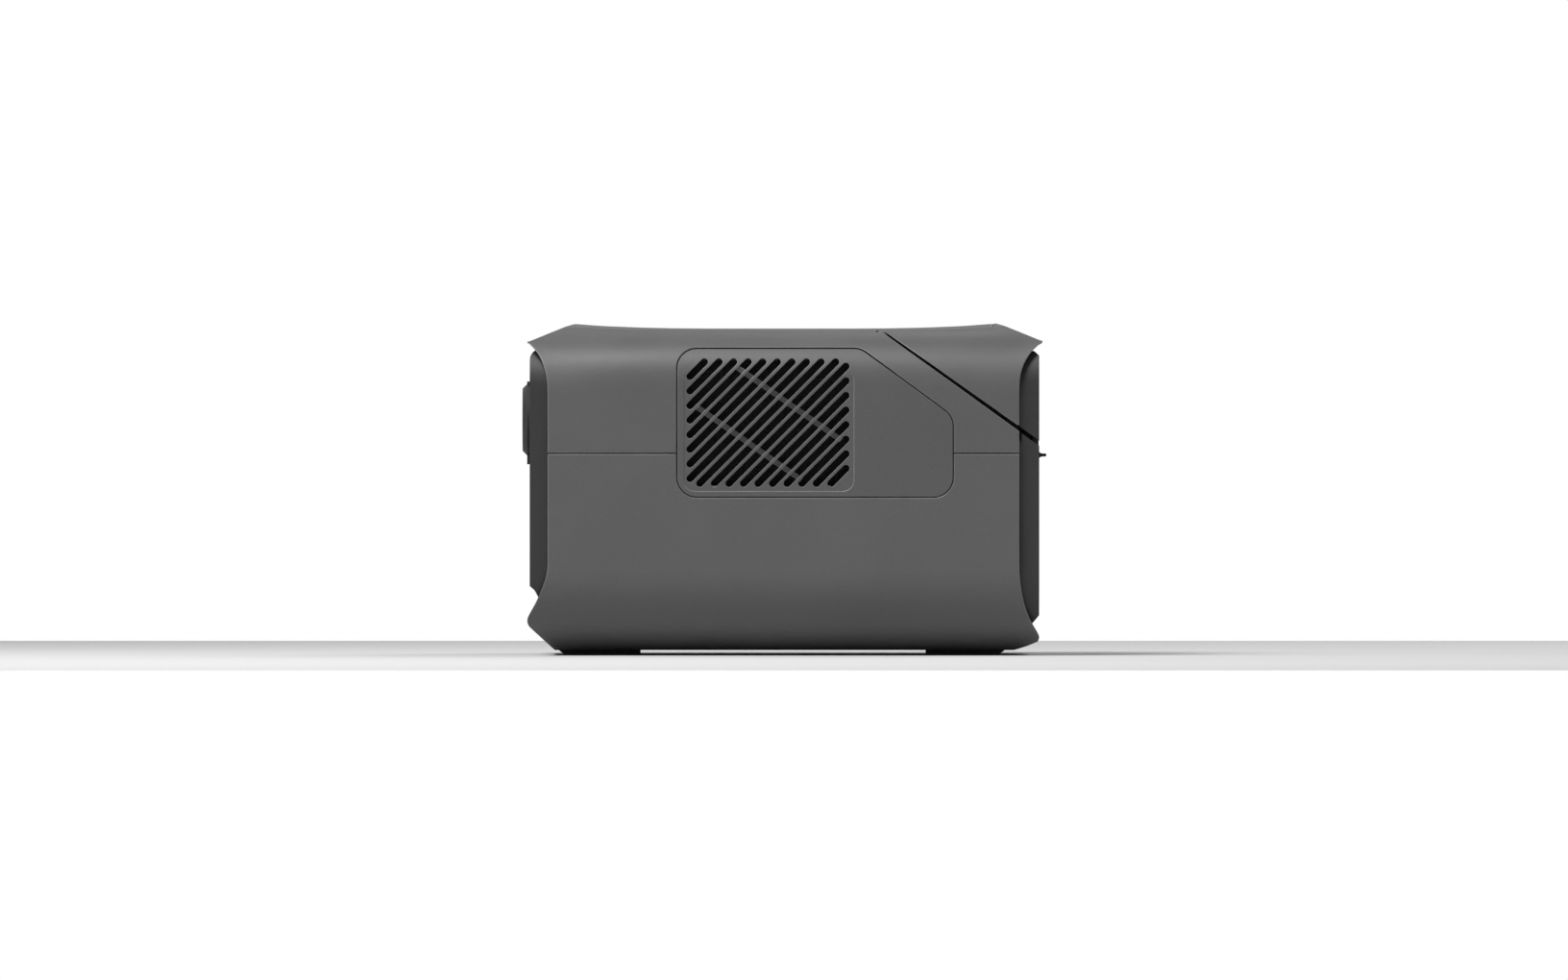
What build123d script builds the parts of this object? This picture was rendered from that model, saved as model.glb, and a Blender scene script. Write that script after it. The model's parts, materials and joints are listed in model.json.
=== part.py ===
from build123d import *
import os
from math import sqrt

# Portable power station. X is the width, the front faces -Y, +Z is up, the feet stand on Z = 0.

# ---- overall envelope ----
WIDTH = 234.5
BASE_Z = 2.3
TOP_Z = 143.7
TOP_FLARE = 2.1
SIDE_FLARE = 1.3
FLARE_Y = 92.0
LOFT_END = 117.0
WALL = 2.8
CORNER_TOP = 24.0
CORNER_TOP_GROWTH = 5.0
CORNER_BOTTOM = 34.0
CROWN_RADIUS = 3600.0
CROWN_LOSS = 1400.0
REACH = WIDTH / 2 + 12.75
SIDE_IN = WIDTH / 2 - 27.25
ROOF_Z = TOP_Z + 36.3

# ---- end rims in the side view (Y, Z) ----
FRONT_RIM_Y = -102.8
FRONT_TIP_Y = -111.8
FRONT_TIP_TOP_Z = TOP_Z - 6.5
FRONT_TIP_BOTTOM_Z = 15.0
FRONT_CREST_Y = -91.0
FRONT_FOOT_Y = -99.9
REAR_RIM_Y = 103.5
REAR_TIP_Y = 113.8
REAR_TIP_TOP_Z = TOP_Z - 6.1
REAR_TIP_BOTTOM_Z = 8.0
REAR_BOTTOM_TIP_Y = 112.3
REAR_CREST_Y = 94.0
REAR_FOOT_Y = 101.4

# ---- joint between the shells ----
PART_Z = 88.5
PART_GAP = 0.6
LAP_HEIGHT = 4.0
LAP_THICK = 1.6
FIT = 0.4

# ---- vent covers ----
VENT_Y0 = -46.0
VENT_Y1 = 74.4
VENT_Z0 = 69.6
VENT_Z1 = 134.2
VENT_R = 8.5
VENT_CUT_START = (34.0, 134.2)
VENT_CUT_END = (74.4, 104.6)
VENT_GROOVE = 0.6
VENT_PLATE = 3.4
VENT_FLANGE = 3.5
FIELD_Y0 = -43.4
FIELD_Y1 = 31.2
FIELD_Z0 = 71.9
FIELD_Z1 = 131.7
FIELD_R = 5.0
FIELD_DEPTH = 0.4
SLOT_COUNT = 18
SLOT_WIDTH = 3.2
SLOT_PITCH = 6.38
SLOT_Y0 = -40.5
SLOT_Y1 = 27.7
SLOT_Z0 = 75.4
SLOT_Z1 = 128.5
SLOT_FIRST_Y = -34.2
BRIDGES = [((-20.5, 126.6), (25.6, 94.3)), ((-38.3, 109.3), (8.3, 77.0))]
BRIDGE_WIDTH = 2.3
BRIDGE_DEPTH = 2.0
FILTER_THICK = 0.8

# ---- fold-up handle ----
SEAM_TOP = (41.3, TOP_Z + 0.1)
SEAM_LOW = (103.5, 99.3)
SEAM_HALF_TOP = 0.45
SEAM_HALF_LOW = 0.9
ARM_WIDTH = 33.25
NOSE_LEN = 14.6
CHEEK_X = WIDTH / 2 - ARM_WIDTH
NOSE_X1 = CHEEK_X + NOSE_LEN
SIDE_GAP = 0.45
PIVOT_Y = 43.6
PIVOT_Z = TOP_Z - 3.1
NOSE_R = 2.2
NOSE_CLEAR = 0.7
PIN_R = 1.1
PIN_RUN = 0.05
BAR_Y = 92.6
BAR_Z = TOP_Z - 8.5
BAR_GAP = 0.6
BAR_UNDER = 0.8
GRIP_THICK = 1.6

# ---- front panel ----
FACE_Y = -110.7
FACE_TOP_Z = TOP_Z - 9.3
FACE_BOTTOM_Z = 30.5
FACE_R = 5.0
PANEL_THICK = 3.0
PANEL_INSET = 3.2
SKIRT_Y = -88.0
BUTTON_GAP = 0.35

# ---- rear panel ----
BACK_Y = 112.3
BACK_TOP_Z = TOP_Z - 10.3
BACK_BOTTOM_Z = 17.6
BACK_SKIRT_Y = 94.0

# ---- battery ----
CELL_R = 13.0
CELL_LEN = 65.4
CELL_PITCH = 26.9
CELL_COLUMNS = 7
CELL_ROWS = 4
CELL_Z = 13.0
CELL_CLEAR = 0.25
TRAY_HEIGHT = 8.0
CELLS_Y = -8.0

# ---- fans ----
FAN_SIZE = 60.0
FAN_DEPTH = 10.0
FAN_Y = -6.0
FAN_Z = 101.0
FAN_FACE_X = WIDTH / 2 - 11.25
FAN_HUB_R = 13.0
FAN_BLADE_R = 27.0
FAN_TIP_GAP = 0.8
FAN_BLADES = 7
FAN_SHAFT_R = 1.5


def box(x0, x1, y0, y1, z0, z1):
    centre = Pos((x0 + x1) / 2, (y0 + y1) / 2, (z0 + z1) / 2)
    return centre * Box(x1 - x0, y1 - y0, z1 - z0)


def rod_x(y, z, r, x0, x1):
    return Pos((x0 + x1) / 2, y, z) * Cylinder(r, x1 - x0, rotation=(0, 90, 0))


def rod_y(x, z, r, y0, y1):
    return Pos(x, (y0 + y1) / 2, z) * Cylinder(r, y1 - y0, rotation=(90, 0, 0))


def rod_z(x, y, r, z0, z1):
    return Pos(x, y, (z0 + z1) / 2) * Cylinder(r, z1 - z0)


def along_x(sketch, x0, x1):
    return extrude(Plane.YZ.offset(x0) * sketch, amount=x1 - x0)


def along_y(sketch, y0, y1):
    return extrude(Plane.XZ.offset(-y1) * sketch, amount=y1 - y0)


def polygon(points):
    return make_face(Polyline(*points, close=True))


def both_sides(item):
    return item + mirror(item, Plane.YZ)


# ---------------------------------------------------------------- outer form

def flare(y):
    return (y / FLARE_Y) ** 4


def section(y, inset):
    half = WIDTH / 2 - SIDE_FLARE + SIDE_FLARE * min(1.0, flare(y)) - inset
    top = TOP_Z + TOP_FLARE * flare(y) - inset
    low = BASE_Z + inset
    rt = CORNER_TOP + CORNER_TOP_GROWTH * min(1.5, flare(y)) - inset
    rb = CORNER_BOTTOM - inset
    rc = CROWN_RADIUS - CROWN_LOSS * min(1.5, flare(y)) - inset
    cx = half - rt
    lift = sqrt((rc - rt) ** 2 - cx ** 2)
    cz = top - rc + lift
    ux = cx / (rc - rt)
    uz = lift / (rc - rt)
    mx = ux + 1.0
    mz = uz
    norm = sqrt(mx * mx + mz * mz)
    sx = cx + rt * ux
    sz = cz + rt * uz
    kx = cx + rt * mx / norm
    kz = cz + rt * mz / norm
    bx = half - rb
    bz = low + rb
    q = rb * sqrt(0.5)
    edges = [
        ThreePointArc((-sx, y, sz), (0, y, top), (sx, y, sz)),
        ThreePointArc((sx, y, sz), (kx, y, kz), (half, y, cz)),
        Line((half, y, cz), (half, y, bz)),
        ThreePointArc((half, y, bz), (bx + q, y, bz - q), (bx, y, low)),
        Line((bx, y, low), (-bx, y, low)),
        ThreePointArc((-bx, y, low), (-bx - q, y, bz - q), (-half, y, bz)),
        Line((-half, y, bz), (-half, y, cz)),
        ThreePointArc((-half, y, cz), (-kx, y, kz), (-sx, y, sz)),
    ]
    return Wire(edges)


def tube(inset):
    stations = [-LOFT_END, -92.0, -62.0, 0.0, 62.0, 92.0, LOFT_END]
    return Solid.make_loft([section(y, inset) for y in stations])


def side_profile():
    front_low = (FRONT_RIM_Y, 40.0)
    front_high = (FRONT_RIM_Y, TOP_Z - 27.7)
    rear_low = (REAR_RIM_Y, 40.0)
    rear_high = (REAR_RIM_Y, TOP_Z - 27.7)
    tip_ft = (FRONT_TIP_Y + 0.7, FRONT_TIP_TOP_Z - 0.6)
    nib_ft = (FRONT_TIP_Y + 0.8, FRONT_TIP_TOP_Z + 0.35)
    tip_fb = (FRONT_TIP_Y + 0.35, FRONT_TIP_BOTTOM_Z + 1.9)
    nib_fb = (FRONT_TIP_Y + 1.1, FRONT_TIP_BOTTOM_Z - 2.6)
    tip_rt = (REAR_TIP_Y - 1.0, REAR_TIP_TOP_Z - 0.9)
    nib_rt = (REAR_TIP_Y - 0.9, REAR_TIP_TOP_Z + 0.4)
    tip_rb = (REAR_BOTTOM_TIP_Y - 0.3, REAR_TIP_BOTTOM_Z + 1.4)
    nib_rb = (REAR_BOTTOM_TIP_Y - 0.7, REAR_TIP_BOTTOM_Z - 2.0)
    bend_rb = (REAR_BOTTOM_TIP_Y - 5.5, REAR_TIP_BOTTOM_Z - 4.0)
    lid = TOP_Z + 12.0
    under = BASE_Z - 3.0
    slope_f = (FRONT_CREST_Y - FRONT_TIP_Y) / (TOP_Z + TOP_FLARE - FRONT_TIP_TOP_Z)
    slope_r = (REAR_CREST_Y - REAR_TIP_Y) / (TOP_Z + TOP_FLARE - REAR_TIP_TOP_Z)
    top_f = (FRONT_TIP_Y + slope_f * (lid - FRONT_TIP_TOP_Z), lid)
    top_r = (REAR_TIP_Y + slope_r * (lid - REAR_TIP_TOP_Z), lid)
    run_f = (FRONT_FOOT_Y - nib_fb[0]) / (nib_fb[1] - BASE_Z)
    low_f = (FRONT_FOOT_Y + run_f * (BASE_Z - under), under)
    run_r = (REAR_FOOT_Y - bend_rb[0]) / (bend_rb[1] - BASE_Z)
    low_r = (REAR_FOOT_Y + run_r * (BASE_Z - under), under)
    edges = [
        Line(low_f, nib_fb),
        ThreePointArc(nib_fb, (FRONT_TIP_Y, FRONT_TIP_BOTTOM_Z), tip_fb),
        Spline(tip_fb, (-108.9, 21.6), (-105.3, 29.4), front_low, tangents=[(0.4, 1.0), (0, 1.0)]),
        Line(front_low, front_high),
        Spline(front_high, (-104.3, TOP_Z - 17.4), (-107.4, TOP_Z - 11.1), tip_ft, tangents=[(0, 1.0), (-1.0, 1.0)]),
        ThreePointArc(tip_ft, (FRONT_TIP_Y, FRONT_TIP_TOP_Z), nib_ft),
        Line(nib_ft, top_f),
        Line(top_f, top_r),
        Line(top_r, nib_rt),
        ThreePointArc(nib_rt, (REAR_TIP_Y, REAR_TIP_TOP_Z - 0.3), tip_rt),
        Spline(tip_rt, (109.5, TOP_Z - 10.1), (104.5, TOP_Z - 19.1), rear_high, tangents=[(-1.0, -1.0), (0, -1.0)]),
        Line(rear_high, rear_low),
        Spline(rear_low, (104.5, 28.4), (108.6, 15.2), tip_rb, tangents=[(0, -1.0), (0.5, -1.0)]),
        ThreePointArc(tip_rb, (REAR_BOTTOM_TIP_Y, REAR_TIP_BOTTOM_Z - 0.6), nib_rb),
        Line(nib_rb, bend_rb),
        Line(bend_rb, low_r),
        Line(low_r, low_f),
    ]
    return make_face(edges)


def block():
    return tube(0.0) & along_x(side_profile(), -WIDTH, WIDTH)


# ---------------------------------------------------------------- handle zones

SEAM_LEN = sqrt((SEAM_LOW[0] - SEAM_TOP[0]) ** 2 + (SEAM_LOW[1] - SEAM_TOP[1]) ** 2)
SEAM_U = ((SEAM_LOW[0] - SEAM_TOP[0]) / SEAM_LEN, (SEAM_LOW[1] - SEAM_TOP[1]) / SEAM_LEN)
SEAM_N = (-SEAM_U[1], SEAM_U[0])


def above_seam(shift_top, shift_low, y_end, reach=30.0):
    # everything above the slanted seam, each end shifted square to it
    a = (SEAM_TOP[0] + SEAM_N[0] * shift_top, SEAM_TOP[1] + SEAM_N[1] * shift_top)
    b = (SEAM_LOW[0] + SEAM_N[0] * shift_low, SEAM_LOW[1] + SEAM_N[1] * shift_low)
    slope = (b[1] - a[1]) / (b[0] - a[0])
    start = (a[0] - reach, a[1] - slope * reach)
    end = (y_end, a[1] + slope * (y_end - a[0]))
    return polygon([start, end, (y_end, TOP_Z + 31.3), (start[0], TOP_Z + 31.3)])


def arm_room(grow):
    # room for one arm on the +X side, the body is cut back by it
    seam = above_seam(-SEAM_HALF_TOP - grow, -SEAM_HALF_LOW - grow, REACH)
    r = NOSE_R + NOSE_CLEAR + grow
    wedge = along_x(seam, CHEEK_X - grow, REACH)
    nose = rod_x(PIVOT_Y, PIVOT_Z, r, CHEEK_X - grow, NOSE_X1 + grow)
    mouth = box(CHEEK_X - grow, NOSE_X1 + grow, PIVOT_Y - r, PIVOT_Y + 3, PIVOT_Z, TOP_Z + 6.3)
    return wedge + nose + mouth


def bar_room(grow):
    return box(-REACH, REACH, BAR_Y - BAR_GAP - grow, 140, BAR_Z - BAR_UNDER - grow, ROOF_Z)


def handle_frame(outer, cavity):
    inner = CHEEK_X + SIDE_GAP
    seam = above_seam(SEAM_HALF_TOP, SEAM_HALF_LOW, REACH)
    wedge = along_x(seam, inner, REACH) - box(0, NOSE_X1, -20, PIVOT_Y, 60, ROOF_Z)
    arm = (outer & wedge) + (outer & rod_x(PIVOT_Y, PIVOT_Z, NOSE_R, inner, NOSE_X1 - SIDE_GAP))
    pocket_seam = above_seam(4.0, 4.5, 99.0, 0.0)
    pocket = along_x(pocket_seam, inner - 1.0, WIDTH / 2 - 3.25) & box(0, 2 * REACH, 60.0, 97.0, 60, ROOF_Z)
    arm = arm - (pocket & cavity)
    lower = rod_x(SEAM_LOW[0] + 1.5, SEAM_LOW[1] + 1.2, 2.0, inner - 1.0, REACH)
    arm = arm - (lower & box(0, 2 * REACH, 102.0, 140, 90, 101.2))
    arm = arm - rod_x(PIVOT_Y, PIVOT_Z, PIN_R + PIN_RUN, inner - 2.0, inner + 8.0)
    bar = outer & box(-REACH, REACH, BAR_Y, 140, BAR_Z, ROOF_Z)
    groove = box(-60, 60, BAR_Y + 3.4, BAR_Y + 14.4, BAR_Z - 1, BAR_Z + GRIP_THICK)
    return both_sides(arm) + bar - groove


def handle_grip():
    strip = box(-59.8, 59.8, BAR_Y + 3.6, BAR_Y + 14.2, BAR_Z + 0.05, BAR_Z + GRIP_THICK)
    ribs = [box(x - 1, x + 1, BAR_Y + 4, BAR_Y + 13.8, BAR_Z - 0.4, BAR_Z + 0.3) for x in range(-56, 57, 4)]
    return strip + ribs


def handle_pin():
    inner = CHEEK_X + SIDE_GAP
    return rod_x(PIVOT_Y, PIVOT_Z, PIN_R, CHEEK_X - 8.9, inner + 7.6)


# ---------------------------------------------------------------- vent outline

def vent_outline(grow):
    pts = [
        (VENT_Y0 - grow, VENT_Z0 - grow),
        (VENT_Y1 + grow, VENT_Z0 - grow),
        (VENT_Y1 + grow, VENT_CUT_END[1] + 0.45 * grow),
        (VENT_CUT_START[0] + 0.45 * grow, VENT_Z1 + grow),
        (VENT_Y0 - grow, VENT_Z1 + grow),
    ]
    face = polygon(pts)
    return fillet(face.vertices(), VENT_R + grow)


def slot_sketch():
    slots = Sketch()
    for k in range(SLOT_COUNT):
        c = SLOT_Z1 - SLOT_FIRST_Y - SLOT_PITCH * k
        y_top = min(SLOT_Z1 - c, SLOT_Y1)
        y_low = max(SLOT_Z0 - c, SLOT_Y0)
        length = (y_top - y_low) * sqrt(2.0)
        y_mid = (y_top + y_low) / 2
        slots += Pos(y_mid, y_mid + c) * Rot(0, 0, 45) * SlotCenterToCenter(max(length, 0.5), SLOT_WIDTH)
    return slots


def vent_cover(outer, shell_in, flange_out, flange_in):
    # a plate flush with the side wall, a flange behind the wall and the slotted field
    plate = (outer & along_x(vent_outline(0.0), SIDE_IN, REACH)) - shell_in
    flange = (flange_out & along_x(vent_outline(VENT_FLANGE), SIDE_IN, REACH)) - flange_in
    neck = (outer & along_x(vent_outline(0.0), SIDE_IN, REACH)) - flange_in
    window = along_x(vent_outline(-VENT_FLANGE), SIDE_IN, REACH) & flange_out
    ring = neck + flange - (window - plate)
    field_y = (FIELD_Y0 + FIELD_Y1) / 2
    field_z = (FIELD_Z0 + FIELD_Z1) / 2
    field = RectangleRounded(FIELD_Y1 - FIELD_Y0, FIELD_Z1 - FIELD_Z0, FIELD_R)
    x_face = WIDTH / 2 - SIDE_FLARE
    recess = along_x(Pos(field_y, field_z) * field, x_face - FIELD_DEPTH, x_face + 5)
    cutter = along_x(slot_sketch(), SIDE_IN, REACH)
    for a, b in BRIDGES:
        dy = b[0] - a[0]
        dz = b[1] - a[1]
        length = sqrt(dy * dy + dz * dz)
        turn = Rot(0, 0, -35.0)
        bar = Pos((a[0] + b[0]) / 2, (a[1] + b[1]) / 2) * turn * Rectangle(length, BRIDGE_WIDTH)
        cutter -= along_x(bar, 90, x_face - FIELD_DEPTH - BRIDGE_DEPTH)
    return ring - recess - cutter


# ---------------------------------------------------------------- case shells

BOSSES = [(34.0, -80.0), (-34.0, -80.0), (78.0, 76.0), (-78.0, 76.0)]


def case_body(outer, cavity):
    room = both_sides(arm_room(0.0)) + bar_room(0.0)
    kept = both_sides(arm_room(WALL)) + bar_room(WALL)
    return (outer - room) - (cavity - kept)


def upper_shell(body, cavity, outer):
    shell = body & box(-REACH, REACH, -REACH, REACH, PART_Z + PART_GAP / 2, ROOF_Z)
    for x, y in BOSSES:
        post = rod_z(x, y, 4.5, PART_Z + PART_GAP / 2, TOP_Z - 0.2) & cavity
        post = post - bar_room(1.0) - both_sides(arm_room(1.0))
        shell += post
        shell -= rod_z(x, y, 1.45, PART_Z - 1, PART_Z + 14)
    lug = both_sides(box(CHEEK_X - 11.0, CHEEK_X - 2.0, PIVOT_Y - 5, PIVOT_Y + 6, PIVOT_Z - 6, PIVOT_Z + 2.0))
    shell += lug & outer
    shell -= both_sides(rod_x(PIVOT_Y, PIVOT_Z, PIN_R, CHEEK_X - 9.0, CHEEK_X + 5.0))
    shell -= box(-REACH, REACH, REAR_RIM_Y + 0.8, 140, 95, ROOF_Z)
    return shell


def lower_shell(body, cavity, outer, lap_out, lap_in):
    shell = body & box(-REACH, REACH, -REACH, REACH, -5, PART_Z - PART_GAP / 2)
    lap_lo = (cavity - lap_in) & box(-REACH, REACH, -87.7, 93.7, PART_Z - LAP_HEIGHT, PART_Z - PART_GAP / 2)
    lap_hi = (lap_out - lap_in) & box(-REACH, REACH, -87.7, 93.7, PART_Z - 2, PART_Z + LAP_HEIGHT)
    lap = lap_lo + lap_hi
    lap -= both_sides(along_x(vent_outline(VENT_FLANGE + FIT), 60, REACH))
    shell += lap
    for x, y in BOSSES:
        shell += rod_z(x, y, 5.5, BASE_Z, PART_Z - PART_GAP / 2) & outer
        shell -= rod_z(x, y, 3.5, -5, 74)
        shell -= rod_z(x, y, 1.8, 70, 90)
    for x, y, z0 in cradle_posts():
        shell += rod_z(x, y, 4.0, BASE_Z, z0) & outer
        shell -= rod_z(x, y, 1.25, z0 - 4.5, z0 + 1)
    for x, y in foot_plugs():
        shell -= rod_z(x, y, 3.1, -5, BASE_Z + 1.7)
    return shell


def cradle_posts():
    # posts that carry the battery tray
    return [(sx * 99.5, CELLS_Y + sy * 34.0, CELL_Z + 2.0) for sx in (-1, 1) for sy in (-1, 1)]


def case_screws():
    group = []
    for x, y in BOSSES:
        head = rod_z(x, y, 2.8, 71.6, 73.95)
        shaft = rod_z(x, y, 1.4, 73.9, PART_Z + 12)
        drive = Pos(x, y, 71.6) * Box(3.0, 0.7, 1.4) + Pos(x, y, 71.6) * Box(0.7, 3.0, 1.4)
        group.append(head + shaft - drive)
    return group


FEET_Y = {"front": (-99.4, -63.0), "rear": (63.4, 98.6)}
FEET_X = {"left": (-72.0, -44.0), "right": (44.0, 72.0)}
FOOT_SLOPE = 3.0


def foot_plugs():
    return [(sum(xs) / 2, sum(ys) / 2) for xs in FEET_X.values() for ys in FEET_Y.values()]


def feet():
    # pads of soft rubber, the outer end sloped
    out = {}
    top = BASE_Z - 0.02
    for end, (ya, yb) in FEET_Y.items():
        if end == "front":
            sketch = polygon([(ya + 1.0, top), (ya + 1.0 + FOOT_SLOPE, 0.0), (yb, 0.0), (yb, top)])
        else:
            sketch = polygon([(ya, top), (ya, 0.0), (yb - 1.0 - FOOT_SLOPE, 0.0), (yb - 1.0, top)])
        for side, (x0, x1) in FEET_X.items():
            plug = rod_z((x0 + x1) / 2, (ya + yb) / 2, 3.0, BASE_Z - 0.5, BASE_Z + 1.6)
            out["foot_%s_%s" % (end, side)] = along_x(sketch, x0, x1) + plug
    return out


# ---------------------------------------------------------------- front panel and what it carries

CAP_X = -78.0
CAP_Z = 103.7
CAP_FLANGE_R = 16.0
CAP_FACE_R = 13.9
CAP_FACE_Y = -115.4
CAP_BACK_Y = -112.0
CAP_AXIS_Y = -111.5
CAP_AXIS_Z = 120.1
SOCKET_R = 10.5
SOCKET_OUT_R = 12.6
SOCKET_DEPTH = 42.0
SOCKET_MOUTH = 3.5
DISPLAY_X = -8.0
DISPLAY_Z = 103.0
DISPLAY_W = 76.0
DISPLAY_H = 40.0
AC_W = 27.0
AC_H = 29.0
AC_AT = [(56.0, 104.0), (88.0, 104.0), (72.0, 68.0)]
USB_A_AT = [(-92.0, 68.0), (-70.0, 68.0)]
USB_C_AT = (-48.0, 68.0)
LIGHT_HALF = 56.0
BUTTONS = {
    "power_button": (0.0, 47.2, 6.5, 0.55),
    "light_button": (-36.0, 47.2, 5.0, 0.3),
    "dc_button": (-17.0, 70.0, 5.0, 0.3),
    "ac_button": (36.0, 70.0, 5.0, 0.3),
}
BUTTON_TRAVEL = 1.2


def front_profile(step):
    y = FACE_Y + step
    r = FACE_R - step * 0.6
    top = FACE_TOP_Z - step
    arc_end = (y + r, top)
    edges = [
        Line((y, FACE_BOTTOM_Z), (y, top - r)),
        ThreePointArc((y, top - r), (y + r * (1 - sqrt(0.5)), top - r * (1 - sqrt(0.5))), arc_end),
        Line(arc_end, (-93.2 + step, 141.2 - step)),
        Line((-93.2 + step, 141.2 - step), (SKIRT_Y, 141.2 - step)),
        Line((SKIRT_Y, 141.2 - step), (SKIRT_Y, BASE_Z + 3.4 + step)),
        Line((SKIRT_Y, BASE_Z + 3.4 + step), (-97.4 + step, BASE_Z + 3.4 + step)),
        Line((-97.4 + step, BASE_Z + 3.4 + step), (-105.2 + step, 22.3)),
        Line((-105.2 + step, 22.3), (-108.6 + step, 28.6)),
        Line((-108.6 + step, 28.6), (y, FACE_BOTTOM_Z)),
    ]
    return make_face(edges)


def front_panel(panel_tube, panel_inner):
    shell = panel_tube & along_x(front_profile(0.0), -REACH, REACH)
    hollow = panel_inner & along_x(front_profile(PANEL_THICK), -REACH, REACH)
    hollow += panel_inner & box(-REACH, REACH, SKIRT_Y - 4, SKIRT_Y + 2, 9, TOP_Z - 8.7)
    panel = shell - hollow
    y0 = FACE_Y
    rim = along_y(Pos(DISPLAY_X, DISPLAY_Z) * RectangleRounded(DISPLAY_W + 0.4, DISPLAY_H + 0.4, 4), y0 - 1, y0 + 1.4)
    view = along_y(Pos(DISPLAY_X, DISPLAY_Z) * RectangleRounded(DISPLAY_W - 6, DISPLAY_H - 6, 2), y0 - 1, y0 + 6)
    panel = panel - rim - view
    panel -= rod_y(CAP_X, CAP_Z, SOCKET_OUT_R + 0.1, y0 - 1, y0 + 6)
    panel -= box(CAP_X - 7, CAP_X + 7, y0 - 1, y0 + 1.3, CAP_AXIS_Z - 1.5, CAP_AXIS_Z + 3.2)
    panel -= box(CAP_X - 4, CAP_X + 4, y0, y0 + 6, CAP_AXIS_Z - 1.1, CAP_AXIS_Z + 1.1)
    for x, z in AC_AT:
        panel -= along_y(Pos(x, z) * RectangleRounded(AC_W + 0.3, AC_H + 0.3, 5), y0 - 1, y0 + 6)
    for x, z in USB_A_AT:
        panel -= box(x - 7.1, x + 7.1, y0 - 1, y0 + 6, z - 3.6, z + 3.6)
    x, z = USB_C_AT
    panel -= along_y(Pos(x, z) * RectangleRounded(10.6, 4.8, 2.3), y0 - 1, y0 + 6)
    for x, z, r, _ in BUTTONS.values():
        panel -= rod_y(x, z, r + BUTTON_GAP, y0 - 1, y0 + 6)
    slope = polygon([(-112.0, 30.0), (-100.0, 30.0), (-100.0, 21.0), (-112.0, 21.0)])
    lens_cut = along_x(slope, -LIGHT_HALF, LIGHT_HALF) & box(-REACH, REACH, -112, -99, 23.6, 27.9)
    return panel - lens_cut


def display_window():
    sheet = RectangleRounded(DISPLAY_W, DISPLAY_H, 3.8)
    return along_y(Pos(DISPLAY_X, DISPLAY_Z) * sheet, FACE_Y + 0.05, FACE_Y + 1.4)


def display_module():
    y0 = FACE_Y + PANEL_THICK + 0.2
    board = box(DISPLAY_X - 40, DISPLAY_X + 40, y0 + 4.0, y0 + 5.6, DISPLAY_Z - 23, DISPLAY_Z + 23)
    glass = box(DISPLAY_X - 36, DISPLAY_X + 36, y0, y0 + 4.0, DISPLAY_Z - 18.5, DISPLAY_Z + 18.5)
    return board + glass


def button(name):
    x, z, r, proud = BUTTONS[name]
    y0 = FACE_Y - proud
    dome = rod_y(x, z, r, y0, FACE_Y + PANEL_THICK + 0.6)
    ball_r = (r * r + proud * proud) / (2 * proud) if name == "power_button" else r * 6
    dome &= Pos(x, y0 + ball_r, z) * Sphere(ball_r)
    flange = rod_y(x, z, r + 1.4, FACE_Y + PANEL_THICK + 0.35, FACE_Y + PANEL_THICK + 1.35)
    stem = rod_y(x, z, 1.5, FACE_Y + PANEL_THICK + 1.2, FACE_Y + PANEL_THICK + 3.6)
    return dome + flange + stem


def ac_outlet(x, z):
    y0 = FACE_Y
    face = along_y(Pos(x, z) * RectangleRounded(AC_W, AC_H, 4.8), y0 + 0.3, y0 + 5.0)
    flange = box(x - AC_W / 2 - 1.4, x + AC_W / 2 + 1.4, y0 + PANEL_THICK + 0.1, y0 + 6.0,
                 z - AC_H / 2 - 1.4, z + AC_H / 2 + 1.4)
    back = box(x - 11.5, x + 11.5, y0 + 5.8, y0 + 19.0, z - 12, z + 12)
    body = face + flange + back
    depth = y0 + 16.0
    body -= box(x - 7.7, x - 5.0, y0 - 1, depth, z - 0.2, z + 8.0)
    body -= box(x + 5.0, x + 7.7, y0 - 1, depth, z - 0.2, z + 6.8)
    body -= rod_y(x, z - 7.5, 2.6, y0 - 1, depth)
    return body


def usb_a_port(x, z):
    y0 = FACE_Y + 0.2
    shell = box(x - 6.8, x + 6.8, y0, y0 + 17, z - 3.3, z + 3.3)
    shell -= box(x - 6.2, x + 6.2, y0 - 1, y0 + 12, z - 2.7, z + 2.7)
    tongue = box(x - 5.6, x + 5.6, y0 + 1.5, y0 + 13, z + 0.3, z + 2.0)
    return shell + tongue


def usb_c_port():
    x, z = USB_C_AT
    y0 = FACE_Y + 0.2
    shell = along_y(Pos(x, z) * RectangleRounded(10.2, 4.4, 2.15), y0, y0 + 10)
    shell -= along_y(Pos(x, z) * RectangleRounded(8.9, 3.1, 1.5), y0 - 1, y0 + 8)
    return shell + box(x - 3.3, x + 3.3, y0 + 0.8, y0 + 9, z - 0.35, z + 0.35)


def car_socket_shell():
    y0 = FACE_Y + 0.2
    body = rod_y(CAP_X, CAP_Z, SOCKET_OUT_R, y0, y0 + SOCKET_DEPTH)
    body += rod_y(CAP_X, CAP_Z, SOCKET_OUT_R + 2.4, y0 + PANEL_THICK, y0 + PANEL_THICK + 1.6)
    body -= rod_y(CAP_X, CAP_Z, SOCKET_R, y0 - 1, y0 + SOCKET_DEPTH + 1)
    return body - rod_y(CAP_X, CAP_Z, SOCKET_R + 0.7, y0 - 1, y0 + SOCKET_MOUTH)


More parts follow.
